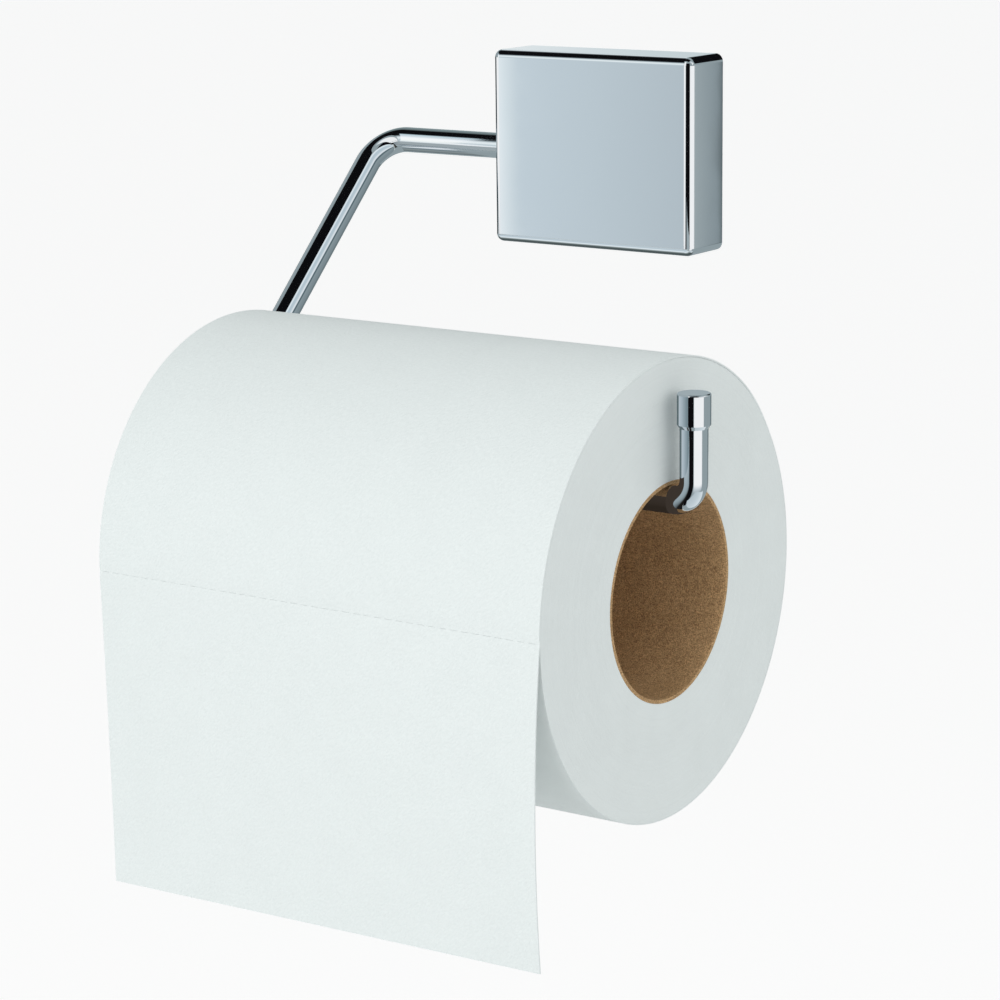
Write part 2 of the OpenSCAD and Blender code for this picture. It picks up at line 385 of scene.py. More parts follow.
# %% Grey nylon
def grey_nylon():
    material, shader = start_finish("grey_nylon", Subsurface_Weight=0.08)
    shader.inputs["Subsurface Radius"].default_value = (1 * MM, 1 * MM, 1 * MM)
    where = object_place(shader)
    flow = noise(where, 3 * MM, detail=3)
    grain = noise(where, 0.25 * MM, detail=2)
    colour = blotches(flow, (0.35, 0.37, 0.39), (0.43, 0.45, 0.47))
    link(colour, shader.inputs["Base Color"])
    link(spread(grain, 0.42, 0.58), shader.inputs["Roughness"])
    link(relief(grain, 0.02 * MM), shader.inputs["Normal"])
    return material


nylon = grey_nylon()

# %% [markdown]
# ### Kraft board
# The core is wound from unbleached board. Its colour is a mid brown, broken up by pale and dark
# fibres a fraction of a millimetre wide and by broad, soft patches, and it has no shine at all.

# %% Kraft board
def kraft_board():
    material, shader = start_finish("kraft_board", Specular_IOR_Level=0.2)
    where = object_place(shader)
    patches = noise(where, 9 * MM, detail=3)
    fibres = noise(object_place(shader, scale=(0.6, 1, 1)), 0.5 * MM, detail=3)
    speckle = noise(where, 0.24 * MM, detail=3, rough=0.7)
    base = blotches(patches, (0.49, 0.31, 0.16), (0.57, 0.37, 0.2))
    flecks = tint(
        speckle,
        [(0.37, (0.56, 0.51, 0.46)), (0.5, (1.0, 1.0, 1.0)), (0.65, (1.5, 1.5, 1.47))],
    )
    strands = tint(fibres, [(0.35, (0.86, 0.85, 0.83)), (0.65, (1.12, 1.12, 1.1))])
    colour = multiply(multiply(base, flecks), strands)
    link(colour, shader.inputs["Base Color"])
    link(spread(speckle, 0.8, 0.95), shader.inputs["Roughness"])
    link(relief(speckle, 0.05 * MM), shader.inputs["Normal"])
    return material


kraft = kraft_board()

# %% [markdown]
# ### Tissue
# Toilet tissue is creped: the sheet is scraped off a drying roll, which leaves short, soft ridges
# well under a millimetre apart. The colour is painted a little darker in the hollows and a little
# lighter on the crests, a painted shade and highlight that makes the ridges show. The sheet
# carries its own map of metres across and along the paper, so the ridges follow it over the roll
# and down the free end. The map is turned and stretched a little, because the ridges lie askew.

# %% Tissue
TISSUE = (0.86, 0.895, 0.89)
CREPE_TURN = math.radians(42)
CREPE_STRETCH = 2.2


def tissue():
    material, shader = start_finish("tissue", Sheen_Weight=0.15, Specular_IOR_Level=0.15)
    shader.inputs["Sheen Roughness"].default_value = 0.6
    on_sheet = add_node(shader, "ShaderNodeUVMap", uv_map="paper").outputs["UV"]
    creped = add_node(
        shader,
        "ShaderNodeMapping",
        {"Vector": on_sheet, "Rotation": (0, 0, CREPE_TURN), "Scale": (CREPE_STRETCH, 1, 1)},
        vector_type="TEXTURE",
    ).outputs["Vector"]
    ridges = noise(creped, 0.36 * MM, detail=3, rough=0.55)
    cloud = noise(on_sheet, 9 * MM, detail=3)
    base = blotches(cloud, scaled(TISSUE, 0.995), scaled(TISSUE, 1.01))
    # painted shade in the creping's hollows and painted highlight on its crests, in the base
    # colour
    painted_crepe_shade = tint(ridges, [(0.36, (0.977, 0.98, 0.98)), (0.64, (1.02, 1.02, 1.02))])
    link(multiply(base, painted_crepe_shade), shader.inputs["Base Color"])
    link(spread(ridges, 0.88, 0.98), shader.inputs["Roughness"])
    link(relief(ridges, 0.13 * MM), shader.inputs["Normal"])
    return material


sheet_finish = tissue()

# %% [markdown]
# ### Wound tissue
# On the roll's ends the eye sees the cut edges of some seventy turns of paper. Noise that depends
# only on the distance from the roll's axis draws them as fine rings. On the round outside that
# distance hardly changes, so there the rings vanish and the creping is left.

# %% Wound tissue
RING_WIDTH = 0.45 * MM


def wound_tissue():
    material, shader = start_finish("wound_tissue", Sheen_Weight=0.15, Specular_IOR_Level=0.15)
    shader.inputs["Sheen Roughness"].default_value = 0.6
    where = object_place(shader, centre=roll_centre)
    flat = vector_math("MULTIPLY", where, (0, 1, 1)).outputs["Vector"]
    reach = vector_math("LENGTH", flat).outputs["Value"]
    rings = add_node(
        reach,
        "ShaderNodeTexNoise",
        {"W": reach, "Scale": 1 / RING_WIDTH, "Detail": 3, "Roughness": 0.6},
        noise_dimensions="1D",
    ).outputs["Fac"]
    fluff = noise(where, 0.5 * MM, detail=4)
    cloud = noise(where, 8 * MM, detail=3)
    base = blotches(cloud, scaled(TISSUE, 0.98), scaled(TISSUE, 1.005))
    edges = tint(rings, [(0.3, (0.985, 0.985, 0.985)), (0.65, (1.0, 1.0, 1.0))])
    link(multiply(base, edges), shader.inputs["Base Color"])
    link(spread(fluff, 0.88, 0.98), shader.inputs["Roughness"])
    ringed = relief(rings, 0.05 * MM)
    link(relief(fluff, 0.05 * MM, under=ringed), shader.inputs["Normal"])
    return material


roll_finish = wound_tissue()

# %% [markdown]
# ## The cover
# The cover is a small hollow casting. As by hand, it starts as a block of the right size. The
# back face is inset by the wall thickness and pushed in, which leaves a shell, and the edges are
# bevelled: the outer ones widely, because buffing rounds them, and the inner ones a little.

# %% The cover's shell
CAVITY_DEPTH = cover_high.y - cover_low.y - COVER_WALL


def is_back(face):
    return face.normal.y > 0.9 and near(middle(face).y, cover_high.y)


def is_cavity_corner(edge):
    """True for the four edges that run into the cavity at its corners."""
    inner_x = cover_high.x - COVER_WALL
    inner_z = cover_high.z - COVER_WALL
    a, b = (v.co for v in edge.verts)
    runs_in = near(a.x, b.x) and near(a.z, b.z)
    return runs_in and near(abs(a.x), inner_x) and near(abs(a.z), inner_z)


def is_outer_edge(edge):
    """True for every edge of the block's outside apart from those of its open back."""
    spot = middle(edge)
    on_side = near(abs(spot.x), cover_high.x) or near(abs(spot.z), cover_high.z)
    return on_side and not near(spot.y, cover_high.y)


cover = box_piece(cover_low, cover_high)
edit(cover)
pick(cover, "FACE", is_back)
bpy.ops.mesh.inset(thickness=COVER_WALL)
extrude((0, -CAVITY_DEPTH, 0))
pick(cover, "EDGE", is_cavity_corner)
bpy.ops.mesh.bevel(offset=CAVITY_CORNER, segments=4, affect="EDGES")
pick(cover, "EDGE", is_outer_edge)
bpy.ops.mesh.bevel(offset=COVER_EDGE, segments=10, affect="EDGES")
leave_edit()

# %% [markdown]
# ### Inside the cover
# Two things are cast inside the shell: a block that takes the end of the bar, and a rib that
# hooks behind the wall plate's upper lip. They are joined to the shell as solids, and then the
# socket and the three tapped holes are drilled. Boolean modifiers do both, because these are
# exact fits between plain solids.

# %% Socket block, hook rib and drilled holes
SOCKET_DEPTH = 12 * MM
SOCKET_FLOOR = 1.3 * MM
BLOCK_HALF = 5.1 * MM
BLOCK_BACK = -2 * MM
RIB_HALF = 13 * MM
RIB_BACK = -0.5 * MM
RIB_FRONT = -2.8 * MM
RIB_LOW_BACK = 12.48 * MM
RIB_LOW_FRONT = 14.48 * MM
SCREW_HOLE = 1.53 * MM
HOLE_SIDES = 32
SET_SCREW_STEPS = (5.2 * MM, 10.8 * MM)
GRUB_Y = -2.5 * MM
GRUB_LENGTH = 5 * MM
SOCKET_PLAY = 0.05 * MM
SUNK = 0.2 * MM

socket_end = cover_low.x + COVER_WALL + SOCKET_DEPTH
inner_front = cover_low.y + COVER_WALL
inner_top = cover_high.z - COVER_WALL

block = box_piece(
    (cover_low.x + COVER_WALL - SUNK, inner_front - SUNK, upper_z - BLOCK_HALF),
    (socket_end + SOCKET_FLOOR, BLOCK_BACK, upper_z + BLOCK_HALF),
)
combine(cover, block, "UNION")

rib = box_piece((-RIB_HALF, RIB_FRONT, RIB_LOW_BACK), (RIB_HALF, RIB_BACK, inner_top + SUNK))
edit(rib)
pick(rib, "EDGE", lambda e: near(middle(e).y, RIB_FRONT) and near(middle(e).z, RIB_LOW_BACK))
bpy.ops.transform.translate(value=(0, 0, RIB_LOW_FRONT - RIB_LOW_BACK))
leave_edit()
combine(cover, rib, "UNION")

socket = drill_piece(
    ROD_R + SOCKET_PLAY,
    (cover_low.x - MM, upper_y, upper_z),
    (1, 0, 0),
    socket_end - cover_low.x + MM,
)
combine(cover, socket, "DIFFERENCE")
for step in SET_SCREW_STEPS:
    start = (cover_low.x + step, 0, upper_z)
    hole = drill_piece(SCREW_HOLE, start, (0, -1, 0), -upper_y, HOLE_SIDES)
    combine(cover, hole, "DIFFERENCE")
start = (0, GRUB_Y, cover_low.z - MM)
hole = drill_piece(SCREW_HOLE, start, (0, 0, 1), GRUB_LENGTH, HOLE_SIDES)
combine(cover, hole, "DIFFERENCE")
settle(cover, "cover_shell", "holder", chrome, ["cover"])
modify(cover, "WEIGHTED_NORMAL", mode="FACE_AREA", weight=100, keep_sharp=True)

# %% [markdown]
# ## The bent bar
# The bar is one length of round stock, bent cold. The model is made the same way: a ring of
# points is drawn along each straight run by extrude and round each bend by spin, and only then
# are its ends closed. The end in the cover's socket gets the milled flat for its two set screws,
# and the free end gets the spigot that carries the cap.

# %% Bar: runs and bends
RING = 64
BEND_STEPS = 20
FLAT_DEPTH = 1 * MM
SPIGOT_R = 2 * MM
SPIGOT_LENGTH = 4.2 * MM

top_corner = Vector((leg_x, upper_y, upper_z))
foot_corner = Vector((leg_x, lower_y, lower_z))
tip_corner = Vector((tip_x, lower_y, lower_z))
leg = foot_corner - top_corner
down_leg = leg.normalized()
to_open_end = Vector((1, 0, 0))
upward = Vector((0, 0, 1))


def bend(corner, before, after, radius):
    """Spins the selected ring through a right-angled bend, from one direction to the next."""
    centre = corner + (after - before) * radius
    turn_axis = after.cross(before)
    bpy.ops.mesh.spin(steps=BEND_STEPS, angle=QUARTER, center=centre, axis=turn_axis)


bpy.ops.mesh.primitive_circle_add(
    vertices=RING,
    radius=ROD_R,
    location=(socket_end, upper_y, upper_z),
    rotation=(0, QUARTER, 0),
)
arm = place_in_mesh(bpy.context.object)
edit(arm)
bpy.ops.mesh.select_all(action="SELECT")
for reach in (cover_low.x + COVER_WALL, leg_x + BEND_TOP):
    here = min(v.co.x for v in bmesh.from_edit_mesh(arm.data).verts)
    extrude((reach - here, 0, 0))
bend(top_corner, -to_open_end, down_leg, BEND_TOP)
extrude(down_leg * (leg.length - BEND_TOP - BEND_FOOT))
bend(foot_corner, down_leg, to_open_end, BEND_FOOT)
extrude(to_open_end * (tip_x - leg_x - BEND_FOOT - BEND_TIP))
bend(tip_corner, to_open_end, upward, BEND_TIP)
extrude(upward * (cap_low.z - lower_z - BEND_TIP))

# %% Bar: spigot, closed ends and milled flat
END_CHAMFER = 0.3 * MM
FLAT_LEAD = 3 * MM


def narrow(share, pivot, keep):
    """Narrows the selected ring to a share of its size, without moving it along one axis."""
    value = [1 if axis == keep else share for axis in "xyz"]
    bpy.ops.transform.resize(value=value, center_override=pivot)


def close_end(move, pivot, keep, radius):
    """Ends the selected ring with a small chamfer and a flat face."""
    extrude(move)
    narrow((radius - END_CHAMFER) / radius, pivot, keep)
    bpy.ops.mesh.edge_face_add()


tip_top = (tip_x, lower_y, cap_low.z)
extrude((0, 0, 0))
narrow(SPIGOT_R / ROD_R, tip_top, "z")
extrude(upward * (SPIGOT_LENGTH - END_CHAMFER))
close_end(upward * END_CHAMFER, tip_top, "z", SPIGOT_R)
pick(arm, "VERT", lambda v: near(v.co.x, socket_end) and v.co.z > lower_z / 2)
bpy.ops.transform.translate(value=(-END_CHAMFER, 0, 0))
close_end((END_CHAMFER, 0, 0), (socket_end, upper_y, upper_z), "x", ROD_R)
bpy.ops.mesh.select_all(action="SELECT")
bpy.ops.mesh.normals_make_consistent(inside=False)
leave_edit()

flat_y = upper_y + ROD_R - FLAT_DEPTH
flat_start = cover_low.x + SET_SCREW_STEPS[0] - FLAT_LEAD
mill = box_piece(
    (flat_start, flat_y, upper_z - 2 * ROD_R),
    (socket_end + MM, 0, upper_z + 2 * ROD_R),
)
combine(arm, mill, "DIFFERENCE")
settle(arm, "bent_bar", "holder", chrome, ["arm_rod"])

# %% [markdown]
# ## The end cap
# The cap hides the bar's cut end and keeps the roll on. It starts as a round bar. Its lower edge
# is turned down to the bar in a short cone, its top edge is rounded, and a bore for the spigot is
# pushed up into it from below.

# %% End cap
CAP_CONE = 0.5 * MM
CAP_CONE_HEIGHT = 0.7 * MM
CAP_TOP_EDGE = 0.35 * MM
CAP_PLAY = 0.02 * MM
BORE_SPARE = 0.1 * MM

cap_r = (cap_high.x - cap_low.x) / 2
cap_foot = (tip_x, lower_y, cap_low.z)
cap = drill_piece(cap_r, cap_foot, upward, cap_high.z - cap_low.z)
edit(cap)
bpy.ops.mesh.select_all(action="SELECT")
bpy.ops.mesh.bisect(plane_co=(0, 0, cap_low.z + CAP_CONE_HEIGHT), plane_no=upward)
pick(cap, "FACE", lambda f: f.normal.z < -0.9)
narrow((cap_r - CAP_CONE) / cap_r, cap_foot, "z")
bpy.ops.mesh.inset(thickness=cap_r - CAP_CONE - SPIGOT_R - CAP_PLAY)
extrude(upward * (SPIGOT_LENGTH + BORE_SPARE))
pick(cap, "EDGE", lambda e: all(near(v.co.z, cap_high.z) for v in e.verts))
bpy.ops.mesh.bevel(offset=CAP_TOP_EDGE, segments=6, affect="EDGES")
leave_edit()
settle(cap, "end_cap_turned", "holder", chrome, ["end_cap"])
modify(cap, "WEIGHTED_NORMAL", mode="FACE_AREA", weight=100, keep_sharp=True)

# %% [markdown]
# ## The roll and its core
# The roll is a thick ring of wound paper and the core is two thin rings of board. Each is turned
# from its own section: a flat rectangle gets its corners rounded, is reduced to its outline and
# is spun once round the roll's axis. On the roll's ends the section has one point for every turn
# or two, and each is pushed in by its own few hundredths of a millimetre, as wound edges are.

# %% Turned rings
TURN_STEPS = 144
END_RINGS = 44
END_DEPTH = 0.07 * MM
ROLL_CORNER = 0.12 * MM
PLY_CORNER = 0.08 * MM
ROLL_CLEARANCE = 0.03 * MM
SOFT_ANGLE = 50


def is_section_end(edge):
    """True for the two short sides of a ring's section, which become its end faces."""
    a, b = (v.co for v in edge.verts)
    return near(a.x, b.x) and near(abs(a.x), half_roll)


def turned_ring(inner, outer, corner, end_cuts=0, long_cuts=0):
    """A ring round the X axis, half_roll long each way, between two radii."""
    bpy.ops.mesh.primitive_plane_add(
        size=1,
        location=(0, 0, (inner + outer) / 2),
        rotation=(QUARTER, 0, 0),
    )
    piece = bpy.context.object
    piece.scale = (2 * half_roll, outer - inner, 1)
    place_in_mesh(piece)
    edit(piece)
    bpy.ops.mesh.select_all(action="SELECT")
    bpy.ops.mesh.bevel(offset=corner, segments=3, affect="VERTICES")
    bpy.ops.mesh.delete(type="ONLY_FACE")
    if end_cuts:
        pick(piece, "EDGE", is_section_end)
        bpy.ops.mesh.subdivide(number_cuts=end_cuts)
        chance = random.Random(4)
        for vert in sorted(bmesh.from_edit_mesh(piece.data).verts, key=lambda v: tuple(v.co)):
            if near(abs(vert.co.x), half_roll) and inner + corner < vert.co.z < outer - corner:
                vert.co.x -= math.copysign(END_DEPTH * chance.random(), vert.co.x)
    if long_cuts:
        pick(piece, "EDGE", lambda e: abs(e.verts[0].co.x - e.verts[1].co.x) > half_roll)
        bpy.ops.mesh.subdivide(number_cuts=long_cuts)
    bpy.ops.mesh.select_all(action="SELECT")
    bpy.ops.mesh.spin(steps=TURN_STEPS, angle=math.tau, center=(0, 0, 0), axis=(1, 0, 0))
    bpy.ops.mesh.select_all(action="SELECT")
    bpy.ops.mesh.remove_doubles(threshold=MM / 1000)
    bpy.ops.mesh.normals_make_consistent(inside=False)
    leave_edit()
    return piece


def hang_ring(piece, name, finish, stands_for):
    """Moves a finished ring from the X axis to the roll's axis and settles it there."""
    piece.location = roll_centre
    settle(piece, name, "roll", finish, [stands_for], smooth=SOFT_ANGLE)


roll_outer = roll_r - SHEET - ROLL_CLEARANCE
roll = turned_ring(CORE_R, roll_outer, ROLL_CORNER, end_cuts=END_RINGS)
hang_ring(roll, "roll_of_paper", roll_finish, "wound_paper")
outer_ply = turned_ring(CORE_R - PLY, CORE_R, PLY_CORNER)
hang_ring(outer_ply, "core_ply_outer", kraft, "core_outer_ply")

# %% [markdown]
# ### The core's seam
# Core board is wound from a long strip, so the inside shows one butt seam that climbs like a
# screw. It is modelled straight first, as a shallow groove along the tube, and then the Simple
# Deform modifier twists the whole tube by most of a turn.

# %% Inner ply with its spiral seam
SEAM_DEPTH = 0.1 * MM
SEAM_SLOPE = 0.15 * MM
SEAM_CUTS = 70
SEAM_TWIST = math.radians(300)
SEAM_START = math.radians(20)
bore_r = CORE_R - 2 * PLY

inner_ply = turned_ring(bore_r, CORE_R - PLY, PLY_CORNER, long_cuts=SEAM_CUTS)


def in_seam(face):
    """True for the one column of faces on the bore that becomes the seam."""
    spot = middle(face)
    on_bore = math.hypot(spot.y, spot.z) < bore_r + PLY / 3
    turn = math.atan2(spot.z, spot.y) % math.tau
    return on_bore and abs(turn - SEAM_START) < math.pi / TURN_STEPS


edit(inner_ply)
seam_faces = pick(inner_ply, "FACE", in_seam)
bpy.ops.mesh.inset(thickness=SEAM_SLOPE)
outward = Vector((0, math.cos(SEAM_START), math.sin(SEAM_START)))
bpy.ops.transform.translate(value=outward * SEAM_DEPTH)
leave_edit()
modify(inner_ply, "SIMPLE_DEFORM", deform_method="TWIST", deform_axis="X", angle=SEAM_TWIST)
hang_ring(inner_ply, "core_ply_inner", kraft, "core_inner_ply")
print("seam is", seam_faces, "faces long")

# %% [markdown]
# ## The paper that is off the roll
# The last sheet lies on the roll, and its free end hangs from the front. Both are one piece of
# paper with a row of slits where it tears, so they are one mesh: a grid for the free end, one
# thin row for the tear line with two of every three cells taken out, and a spin over the roll.
# The slits are then closed to a few hundredths of a millimetre, and the paper is creased along
# them. It could be a cloth simulation, but paper this short hangs nearly flat, and its slight
# bow and twist are easier to set as given numbers.

# %% Paper: grid, tear line and wrap
SLITS = 42
CELLS_PER_SLIT = 3
SLIT_HEIGHT = 0.038 * MM
CREASE = 0.12 * MM
COLUMNS = CELLS_PER_SLIT * SLITS + 1
TAIL_ROWS = 60
WRAP_STEPS = 120

TAIL_LENGTH = tail_high.z - tail_low.z
TEAR_GAP = web_low.z - tail_high.z

wrap_angle = math.acos((roll_y - web_high.y) / roll_r)
print("paper wraps the roll by", round(math.degrees(wrap_angle), 2), "degrees")

bpy.ops.mesh.primitive_grid_add(
    x_subdivisions=COLUMNS,
    y_subdivisions=TAIL_ROWS,
    size=1,
    location=(0, tail_low.y, (tail_low.z + tail_high.z) / 2),
    rotation=(QUARTER, 0, 0),
)
paper = bpy.context.object
paper.scale = (2 * half_roll, TAIL_LENGTH, 1)
place_in_mesh(paper)
edit(paper)
pick(paper, "EDGE", lambda e: near(middle(e).z, tail_high.z))
extrude((0, 0, TEAR_GAP))
bpy.ops.mesh.spin(steps=WRAP_STEPS, angle=wrap_angle, center=roll_centre, axis=(1, 0, 0))


def is_slit(face):
    """True in the thin row along the tear line for all but the first of every three cells."""
    spot = middle(face)
    column = int((spot.x + half_roll) / (2 * half_roll) * COLUMNS)
    in_row = near(spot.z, tail_high.z + TEAR_GAP / 2) and spot.y < roll_y
    return in_row and column % CELLS_PER_SLIT > 0


cut_cells = pick(paper, "FACE", is_slit)
bpy.ops.mesh.delete(type="FACE")
pick(paper, "VERT", lambda v: near(v.co.z, tail_high.z))
bpy.ops.transform.translate(value=(0, 0, TEAR_GAP - SLIT_HEIGHT))
pick(paper, "VERT", lambda v: near(v.co.z, web_low.z, TEAR_GAP / 2) and v.co.y < roll_y)
bpy.ops.transform.translate(value=(0, CREASE, 0))
leave_edit()
print("tear line has", SLITS, "slits in", cut_cells, "cells")

# %% [markdown]
# ### The hang of the paper
# Every point gets its distance along the paper, which becomes the map that the creping follows.
# Below the tear line the free end then bows a little towards the room on its right and turns
# back on its left. Behind the roll the last centimetres sink into the winding, so that the sheet
# runs into the roll with no step.

# %% Paper: map, hang and thickness
RIGHT_BOW = 1.6 * MM
RIGHT_LEAN = 0.65 * MM
LEFT_BOW = -0.2 * MM
LEFT_LEAN = -1.2 * MM
SKEW = 1.2 * MM
SINK_ANGLE = math.radians(24)
SINK_DEPTH = 0.47 * MM


def along_paper(place):
    """How far a point lies up the paper from the tear line, below zero on the free end."""
    if place.z < web_low.z:
        return place.z - web_low.z
    return roll_r * math.atan2(place.z - roll_z, roll_y - place.y)


def hang(place):
    """The point's place on paper that hangs and lies as real paper does."""
    across = (place.x + half_roll) / (2 * half_roll)
    down = -along_paper(place) / TAIL_LENGTH
    if down > 0:
        bow = LEFT_BOW + (RIGHT_BOW - LEFT_BOW) * across
        lean = LEFT_LEAN + (RIGHT_LEAN - LEFT_LEAN) * across
        forward = 4 * bow * down * (1 - down) + lean * down
        return place + Vector((0, -forward, (across - 0.5) * 2 * SKEW * down))
    turn = along_paper(place) / roll_r
    late = max(0, (turn - wrap_angle + SINK_ANGLE) / SINK_ANGLE)
    sink = SINK_DEPTH * late * late * (3 - 2 * late)
    from_axis = Vector((0, place.y - roll_y, place.z - roll_z))
    return place - from_axis.normalized() * sink


paper_map = paper.data.uv_layers.new(name="paper")
for loop in paper.data.loops:
    spot = paper.data.vertices[loop.vertex_index].co
    paper_map.data[loop.index].uv = (spot.x, along_paper(spot))
for vert in paper.data.vertices:
    vert.co = hang(vert.co)
modify(paper, "SOLIDIFY", thickness=SHEET, offset=-1, use_even_offset=True)

stands_for = ["top_sheet", "tail_sheet"]
settle(paper, "paper_sheet", None, sheet_finish, stands_for, SOFT_ANGLE)
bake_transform(paper)

# %% [markdown]
# ## Wall screws
# The two wood screws hold the plate. Their thread is cut into a plain shank: the shank gets many
# rings of points, and each point moves out to the crest or in to the root by where it lies on the
# helix. The head is a turned pan with a cross recess. One screw is made and then copied.

# %% Threaded wood screw
SCREW_ROOT = 1.35 * MM
SCREW_CREST = 1.88 * MM
SCREW_PITCH = 1.8 * MM
SCREW_POINT = 4 * MM
PLAIN_NECK = 3 * MM
NECK_EXTRA = 0.1 * MM
POINT_R = 0.1 * MM
RIDGE_SHARE = 0.3
HEAD_R = 3.6 * MM
HEAD_HEIGHT = 2.4 * MM
HEAD_EDGE = 0.9 * MM
CROSS_LENGTH = 4 * MM
CROSS_WIDTH = 0.9 * MM
CROSS_DEPTH = 1.4 * MM
SHANK_SIDES = 36
SHANK_CUTS = 120

screw_low, screw_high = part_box("wall_screw_upper")
screw_lower_low, screw_lower_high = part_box("wall_screw_lower")
screw_z = (screw_low.z + screw_high.z) / 2
lower_step = (screw_lower_low.z + screw_lower_high.z) / 2 - screw_z
head_face = screw_low.y + HEAD_HEIGHT
shank_length = screw_high.y - head_face


def thread_radius(along, turn):
    """The shank's radius at a distance from the head and a turn about the axis, 0 to 1."""
    if along < PLAIN_NECK:
        return SCREW_ROOT + NECK_EXTRA
    phase = (along / SCREW_PITCH - turn) % 1
    ridge = max(0, 1 - abs(phase - 0.5) / RIDGE_SHARE)
    taper = min(1, (shank_length - along) / SCREW_POINT)
    fade = min(1, (along - PLAIN_NECK) / SCREW_PITCH)
    return max(POINT_R, taper * (SCREW_ROOT + fade * ridge * (SCREW_CREST - SCREW_ROOT)))


def wood_screw():
    buried = HEAD_HEIGHT / 4
    start = (0, head_face - buried, screw_z)
    shank = drill_piece(SCREW_ROOT, start, (0, 1, 0), shank_length + buried, SHANK_SIDES)
    edit(shank)
    pick(shank, "EDGE", lambda e: abs(e.verts[0].co.y - e.verts[1].co.y) > SCREW_POINT)
    bpy.ops.mesh.subdivide(number_cuts=SHANK_CUTS)
    leave_edit()
    for vert in shank.data.vertices:
        across = Vector((vert.co.x, 0, vert.co.z - screw_z)).normalized()
        turn = math.atan2(across.z, across.x) / math.tau
        across *= thread_radius(vert.co.y - head_face, turn)
        vert.co = (across.x, vert.co.y, screw_z + across.z)
    head = drill_piece(HEAD_R, (0, screw_low.y, screw_z), (0, 1, 0), HEAD_HEIGHT)
    edit(head)
    pick(head, "EDGE", lambda e: all(near(v.co.y, screw_low.y) for v in e.verts))
    bpy.ops.mesh.bevel(offset=HEAD_EDGE, segments=5, affect="EDGES")
    leave_edit()
    combine(head, shank, "UNION")
    for size_x, size_z in ((CROSS_LENGTH, CROSS_WIDTH), (CROSS_WIDTH, CROSS_LENGTH)):
        blade = box_piece(
            (-size_x / 2, screw_low.y - MM, screw_z - size_z / 2),
            (size_x / 2, screw_low.y + CROSS_DEPTH, screw_z + size_z / 2),
        )
        combine(head, blade, "DIFFERENCE")
    return head


upper_screw = wood_screw()
only(upper_screw)
bpy.ops.object.duplicate(linked=False)
lower_screw = bpy.context.object
lower_screw.location = (0, 0, lower_step)
settle(upper_screw, "wood_screw_upper", "holder", zinc, ["wall_screw_upper"])
settle(lower_screw, "wood_screw_lower", "holder", zinc, ["wall_screw_lower"])

# %% [markdown]
# ## Finishes on the CAD nodes that stay
# The wall plate, the plugs and the small set screws are right as they come from CAD. They only
# get their finish in place of the plain one.

# %% Finishes on CAD nodes
CAD_FINISHES = {
    "wall_plate": zinc,
    "cover_grub_screw": zinc,
    "arm_set_screw_left": zinc,
    "arm_set_screw_right": zinc,
    "wall_plug_upper": nylon,
    "wall_plug_lower": nylon,
}
for name, finish in CAD_FINISHES.items():
    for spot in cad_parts[name].material_slots:
        spot.material = finish
print("finished", len(CAD_FINISHES), "CAD nodes")

# %% [markdown]
# ## Floor and light
# The room is plain: a pale floor well below the holder, an even light from all round that is a
# little weaker from above, one broad lamp in front and a weak one on the right. Together they
# light tissue about as bright as its colour is written. Mirror rays see a mid grey in place of
# the sky. The floor is lit and shaded like any other, but glows a little for the camera, so that
# it looks as pale as the background.

# %% World
BACKGROUND = (0.947, 0.947, 0.947)
SKY_TOP = (0.52, 0.555, 0.555)
SKY_SIDES = (0.81, 0.835, 0.83)
STUDIO_GREY = (0.31, 0.37, 0.39)

world = bpy.data.worlds.new("studio")
world.use_nodes = True
bpy.context.scene.world = world
seen = world.node_tree.nodes["Background"]
where = add_node(seen, "ShaderNodeTexCoord").outputs["Generated"]
height = add_node(seen, "ShaderNodeSeparateXYZ", {0: where}).outputs["Z"]
link(tint(height, [(0, SKY_SIDES), (1, SKY_TOP)]), seen.inputs["Color"])
ray = add_node(seen, "ShaderNodeLightPath")
for kind, colour in (
    ("Is Glossy Ray", STUDIO_GREY),
    ("Is Transmission Ray", BACKGROUND),
    ("Is Camera Ray", BACKGROUND),
):
    flat = add_node(seen, "ShaderNodeBackground", {"Color": (*colour, 1)})
    mixed = {0: ray.outputs[kind], 1: seen.outputs[0], 2: flat.outputs[0]}
    seen = add_node(seen, "ShaderNodeMixShader", mixed)
link(seen.outputs[0], world.node_tree.nodes["World Output"].inputs["Surface"])

# %% Floor
FLOOR_Z = -0.9
FLOOR_SIZE = 80
FLOOR_GLOW = (0.4, 0.375, 0.375)

bpy.ops.mesh.primitive_plane_add(size=FLOOR_SIZE, location=(0, 0, FLOOR_Z))
floor = bpy.context.object
floor.name = "floor"
floor.visible_glossy = False
paint, shader = start_finish("floor_paint", Base_Color=(0.88, 0.88, 0.88, 1), Roughness=0.9)
shader.inputs["Emission Color"].default_value = (*FLOOR_GLOW, 1)
ray = add_node(shader, "ShaderNodeLightPath")
link(ray.outputs["Is Camera Ray"], shader.inputs["Emission Strength"])
floor.data.materials.append(paint)


# %% Lamps
def soft_lamp(name, place, size, power):
    """A round, soft lamp that points at the roll and isn't seen in the chrome."""
    data = bpy.data.lights.new(name, "AREA")
    data.shape = "DISK"
    data.size = size
    data.energy = power
    lamp = bpy.data.objects.new(name, data)
    bpy.context.scene.collection.objects.link(lamp)
    lamp.location = place
    aim = roll_centre - lamp.location
    lamp.rotation_euler = aim.to_track_quat("-Z", "Y").to_euler()
    lamp.visible_glossy = False


soft_lamp("front_lamp", place=(-0.05, -1.6, 0.35), size=0.8, power=7.4)
soft_lamp("side_lamp", place=(1.6, -0.3, 0.3), size=1.4, power=3.2)

# %% [markdown]
# ## What the chrome mirrors
# Plain grey walls would make chrome look like grey paint. In a studio, boards and dark flags
# stand round the object, so that every rounded edge shows a crisp run of white, black and grey.
# The cards below do that. Only mirror rays see them, so they throw no light and no shadow.

